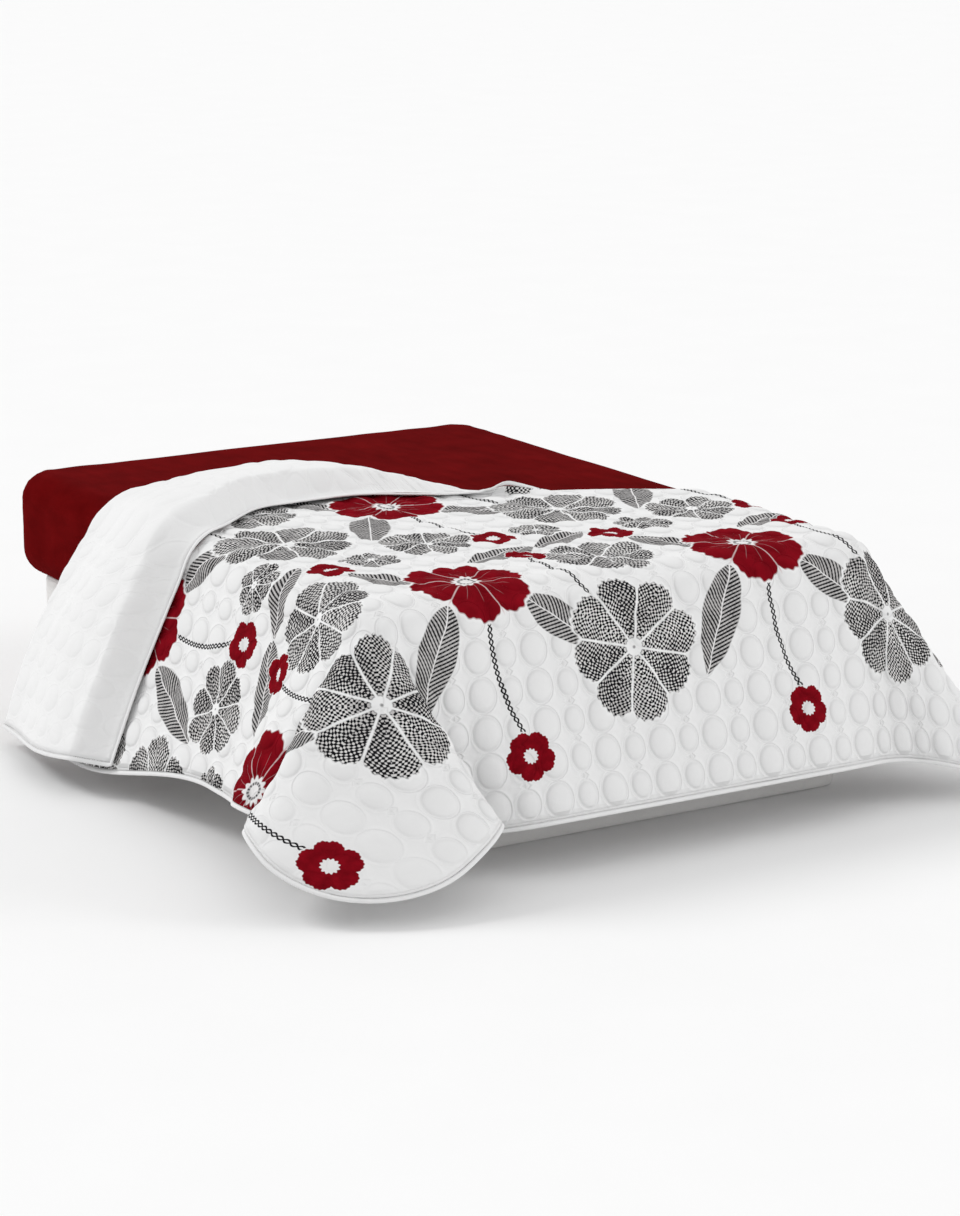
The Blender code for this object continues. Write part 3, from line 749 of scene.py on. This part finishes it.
# Stems are two strands that cross and cross again along a bow.
x, y, size = cloth_place(tree, "print_stem")[1]
beside_bow = y - STEM_BOW * (1 - x * x)
swing = STRAND_SWING * (x * size * 2 * math.pi / STEM_PITCH).sine()
strands = (STRAND_HALF - abs(beside_bow + swing)).higher(STRAND_HALF - abs(beside_bow - swing))
colour = tint(tree, strands.fade(60) * (1 - abs(x)).fade(PRINT_EDGE), colour, INK)

# Grey flowers are stippled in rows of dashes, with bare gaps between the petals.
x, y, size = cloth_place(tree, "print_grey")[1]
out, share, angle = petals(x, y, GREY_PETALS)
petal_width = out * (2 * math.pi / GREY_PETALS)
ragged = 0.016 * (angle * 53).sine() + 0.05 * (angle * 3 + 1.0).sine()
tip = 0.97 - 0.17 * (share * 2) ** 2.6 + ragged
colour = tint(tree, (tip + HALO - out).fade(PRINT_EDGE), colour, GROUND)
gaps = ((0.5 - share) * petal_width - 0.010).fade(70) * (out - 0.11).fade(40)
rows = (out * size * hatching).sine()
sway = 0.9 * (out * size * hatching / 2).sine()
dashes = (share * petal_width * size * hatching + sway).sine()
streaks = fleck(tree, vector, 38, 2.0) - 0.5
stipple = 0.27 + 0.20 * (angle * 3 + 0.6).sine() + 1.5 * streaks
stipple = (stipple + rows * dashes * 2.0 + 0.30 * rows).fade(1.0)
pale = (fleck(tree, vector, 9, 1.0) * 3 - 1).fade(1.0)
petal_shade = tint(tree, stipple, INK, tint(tree, pale, ASH, PALE_ASH))
colour = tint(tree, (tip - out).fade(PRINT_EDGE) * gaps, colour, petal_shade)
colour = tint(tree, (0.030 - out).fade(50), colour, SPECK)

# Red flowers have a pale scalloped eye, and the big ones also veins and a ring of beads in it.
flower_place, (x, y, kind) = cloth_place(tree, "print_red")
out, share, angle = petals(x, y, BIG_RED_PETALS - kind)
big_flower = 1 - kind
notch = 0.20 * (share * 2) ** 3.0 + 0.05 * (1 - (share * 9).lower(1.0))
tip = 1 - notch + 0.014 * (angle * 41).sine()
colour = tint(tree, (tip + HALO - out).fade(PRINT_EDGE), colour, GROUND)
streaks = fleck(tree, flower_place, 3.2, 3.0)
red_shade = tint(tree, (streaks * 1.6 - 0.35 + 0.25 * out).fade(1.0), DARK_RED, DEEP_RED)
colour = tint(tree, (tip - out).fade(PRINT_EDGE), colour, red_shade)
parting = (0.016 - (0.5 - share) * out).fade(90) * (0.93 - out).fade(12) * big_flower
vein = (0.008 - abs(share - 0.2) * out).fade(130) * (0.66 - out).fade(12) * big_flower
colour = tint(tree, (parting * 0.85).higher(vein * 0.30), colour, VEIN_PINK)
scallop = 0.235 + 0.03 * (angle * 12).sine() + 0.06 * kind
colour = tint(tree, (scallop - out).fade(40), colour, PEARL)
ring = (0.032 - abs(out - 0.125)).fade(60) * big_flower
beads = (0.30 + 0.9 * (angle * 14).sine()).fade(1.0)
colour = tint(tree, ring * (0.45 + 0.55 * beads), colour, EYE_INK)
tree.links.new(colour, shader.inputs["Base Color"])

stitched = profile(tree, beside_stitches, QUILTED_HEIGHT) * inside * relief * PUFF
dashed = 0.7 + 0.3 * ((across + along) * 1400).sine()
hem_stitch = (HEM_STITCH_HALF - abs(hem - HEM_STITCH_PLACE)).fade(700) * dashed
height = stitched + creases * CREASE_HEIGHT + nap * NAP_HEIGHT - hem_stitch * HEM_STITCH_HEIGHT
emboss(tree, shader, height)

quilt_back, tree, shader = new_cloth("plain_quilt_back", roughness=0.9, sheen=0.03, specular=0.05)
_flat, creases, nap, beside_stitches, inside = quilted(tree)
# The back's white gets the same painted shade and painted highlight of the quilting, with more of
# the random crease tone.
cord_painted_shade = profile(tree, beside_stitches, QUILTED_PAINTED_SHADE)
painted_shade_and_tone = creases * BACK_CREASE_TONE + cord_painted_shade * (1 - BACK_CREASE_TONE)
tree.links.new(tint(tree, painted_shade_and_tone, BACK_PAINTED_SHADE, BACK_WHITE), shader.inputs["Base Color"])
stitched = profile(tree, beside_stitches, QUILTED_HEIGHT) * inside * BACK_STITCH_HEIGHT
emboss(tree, shader, stitched + creases * BACK_CREASE_HEIGHT + nap * NAP_HEIGHT)

bm = grid_mesh(count_u, count_v)
move_points(bm, middle.reshape(-1, 3))
quilt = make_piece(bm, "quilt_cloth", quilt_face)
quilt.data.materials.append(quilt_back)
solid = quilt.modifiers.new("thickness", "SOLIDIFY")
solid.thickness = 2 * SEAM_HALF_THICKNESS
solid.offset = 0
solid.material_offset = 1
solid.material_offset_rim = 1
thick = bpy.data.meshes.new_from_object(quilt.evaluated_get(bpy.context.evaluated_depsgraph_get()))
quilt.modifiers.clear()
quilt.data = thick
both_sides = np.concatenate([front.reshape(-1, 3), back.reshape(-1, 3)])
thick.vertices.foreach_set("co", both_sides.ravel())
flat = np.tile(np.stack([u, v, from_hem], axis=2).reshape(-1, 3), (2, 1))
thick.attributes.new("flat", "FLOAT_VECTOR", "POINT").data.foreach_set("vector", flat.ravel())
loop_vertex = np.zeros(len(thick.loops), dtype=int)
thick.loops.foreach_get("vertex_index", loop_vertex)
loop_total = np.zeros(len(thick.polygons), dtype=int)
thick.polygons.foreach_get("loop_total", loop_total)
loop_face = np.repeat(np.arange(len(thick.polygons)), loop_total)
for layer in ("leaf", "stem", "grey", "red"):
    print_on(thick, layer, flat[loop_vertex, 0], flat[loop_vertex, 1], loop_face)
thick.shade_smooth()
thick.update()
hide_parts("quilt")
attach(quilt, "root")


# The quilt's binding. A narrow strip of white cotton is folded over the raw edge all the way
# round and top-stitched through all the layers, a little inside its fold.

BINDING_WIDTH = 0.012
BINDING_SEAM = 0.0006
BINDING_HALF_THICKNESS = 0.0030
ROUND_THE_STRIP = 8
ROUNDNESS = 0.82
PUCKER_SHARE, PUCKER_PITCH = 0.12, 0.021
SAME_POINT = 0.00005
BINDING_LIGHT, BINDING_DARK = (0.84, 0.84, 0.84), (0.79, 0.79, 0.79)
BINDING_STITCH, TOP_STITCH_PITCH = (0.60, 0.60, 0.61), 0.0035
TOP_STITCH_PLACE, TOP_STITCH_HALF, TOP_STITCH_DEPTH = 0.0025, 0.0011, 0.0005
WORN_HEIGHT = 0.0006

ahead = np.roll(hem_ring, -1, axis=0) - hem_ring
ahead /= np.maximum(np.linalg.norm(ahead, axis=1), 1e-9)[:, None]
behind = np.roll(ahead, 1, axis=0)
outward = np.stack([ahead[:, 1] + behind[:, 1], -ahead[:, 0] - behind[:, 0]], axis=1)
outward /= (1 + np.sum(ahead * behind, axis=1))[:, None]
inner_line = place(*(hem_ring + outward * BINDING_SEAM).T)
outer_line = place(*(hem_ring + outward * (BINDING_SEAM + BINDING_WIDTH)).T)
across_strip = outer_line - inner_line
across_strip /= np.linalg.norm(across_strip, axis=1)[:, None]
along_strip = np.roll(inner_line, -1, axis=0) - np.roll(inner_line, 1, axis=0)
strip_facing = np.cross(across_strip, along_strip)
strip_facing /= np.linalg.norm(strip_facing, axis=1)[:, None]
steps_along = np.linalg.norm(np.diff(inner_line, axis=0), axis=1)
metres = np.concatenate([[0], np.cumsum(steps_along)])
wander = 3 * np.sin(metres * 9)
pucker = 1 + PUCKER_SHARE * np.sin(metres * 2 * math.pi / PUCKER_PITCH + wander)
strip = (inner_line + outer_line) / 2
rounds = []
for step in range(ROUND_THE_STRIP):
    angle = 2 * math.pi * step / ROUND_THE_STRIP
    squared = ROUNDNESS + (1 - ROUNDNESS) * abs(math.sin(2 * angle))
    wide = BINDING_WIDTH / 2 * math.cos(angle) * squared / ROUNDNESS
    thick_here = BINDING_HALF_THICKNESS * math.sin(angle) * squared * pucker
    rounds.append(strip + across_strip * wide + strip_facing * thick_here[:, None])
rounds = np.stack(rounds + rounds[:1], axis=0)
rounds = np.concatenate([rounds, rounds[:, :1]], axis=1)

bm = grid_mesh(rounds.shape[1], rounds.shape[0])
strip_layer = bm.verts.layers.float_vector.new("strip")
strip_run = np.append(metres, metres[-1] + CLOTH_CELL)
for index, vert in enumerate(bm.verts):
    turn_index, station = divmod(index, rounds.shape[1])
    turn = 2 * math.pi * turn_index / ROUND_THE_STRIP
    vert[strip_layer] = (strip_run[station], BINDING_WIDTH / 2 * (1 + math.cos(turn)), 0)
move_points(bm, rounds.reshape(-1, 3))
bmesh.ops.remove_doubles(bm, verts=bm.verts, dist=SAME_POINT)
bmesh.ops.recalc_face_normals(bm, faces=bm.faces)

binding_cloth, tree, shader = new_cloth("binding_cotton", roughness=0.75, sheen=0.2)
vector, (run, over, _up) = cloth_place(tree, "strip")
worn = fleck(tree, vector, 60, 3.0)
stitch_row = (TOP_STITCH_HALF - abs(over - TOP_STITCH_PLACE)).fade(900)
stitch = stitch_row * (0.35 + (run * (2 * math.pi / TOP_STITCH_PITCH)).sine()).fade(1.5)
colour = tint(tree, worn, BINDING_DARK, BINDING_LIGHT)
colour = tint(tree, stitch * 0.5, colour, BINDING_STITCH)
tree.links.new(colour, shader.inputs["Base Color"])
emboss(tree, shader, worn * WORN_HEIGHT - stitch * TOP_STITCH_DEPTH)

binding = make_piece(bm, "binding_strip", binding_cloth)
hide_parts("quilt_binding")
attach(binding, "root")


# The studio. A pale matt floor under a pale sky, with soft daylight from the head's left side and
# weaker light from the foot's right. The camera stands at the foot's left corner, as in the photo.

FLOOR_SIZE = 130
FLOOR_DARK, FLOOR_LIGHT = (0.91, 0.91, 0.91), (0.93, 0.93, 0.93)
SKY_COLOUR, SKY_STRENGTH = (1.0, 1.0, 1.0, 1), 0.77
LIGHTS = (
    ("window_light", 1.04, 20, (-0.45, 0.58, 0.68)),
    ("side_light", 0.56, 22, (0.80, -0.49, 0.34)),
)
LENS, SENSOR = 100, 36
CAMERA_PLACE = (-4.52, -7.705, 2.56)
CAMERA_TILT, CAMERA_TURN = 76.2, -31.4

bpy.ops.mesh.primitive_plane_add(size=FLOOR_SIZE, location=(0, 0, 0))
floor = bpy.context.object
floor.name = "studio_floor"
floor_paint, tree, shader = new_cloth("floor_paint", roughness=0.9, sheen=0.0, specular=0.1)
vector, _parts = cloth_place(tree)
colour = tint(tree, fleck(tree, vector, 3, 2.0), FLOOR_DARK, FLOOR_LIGHT)
tree.links.new(colour, shader.inputs["Base Color"])
floor.data.materials.append(floor_paint)

sky = bpy.data.worlds.new("studio_sky")
bpy.context.scene.world = sky
sky.use_nodes = True
sky.node_tree.nodes["Background"].inputs["Color"].default_value = SKY_COLOUR
sky.node_tree.nodes["Background"].inputs["Strength"].default_value = SKY_STRENGTH

for name, strength, width, comes_from in LIGHTS:
    glow = bpy.data.lights.new(name, "SUN")
    glow.energy = strength
    glow.angle = math.radians(width)
    lamp = bpy.data.objects.new(name, glow)
    bpy.context.scene.collection.objects.link(lamp)
    tilt = math.acos(comes_from[2] / math.hypot(*comes_from))
    lamp.rotation_euler = (tilt, 0, math.atan2(comes_from[0], -comes_from[1]))

camera_data = bpy.data.cameras.new("camera")
camera_data.lens = LENS
camera_data.sensor_width = SENSOR
camera = bpy.data.objects.new("camera", camera_data)
bpy.context.scene.collection.objects.link(camera)
camera.location = CAMERA_PLACE
camera.rotation_euler = (math.radians(CAMERA_TILT), 0, math.radians(CAMERA_TURN))
bpy.context.scene.camera = camera
bpy.context.scene.view_settings.view_transform = "Standard"
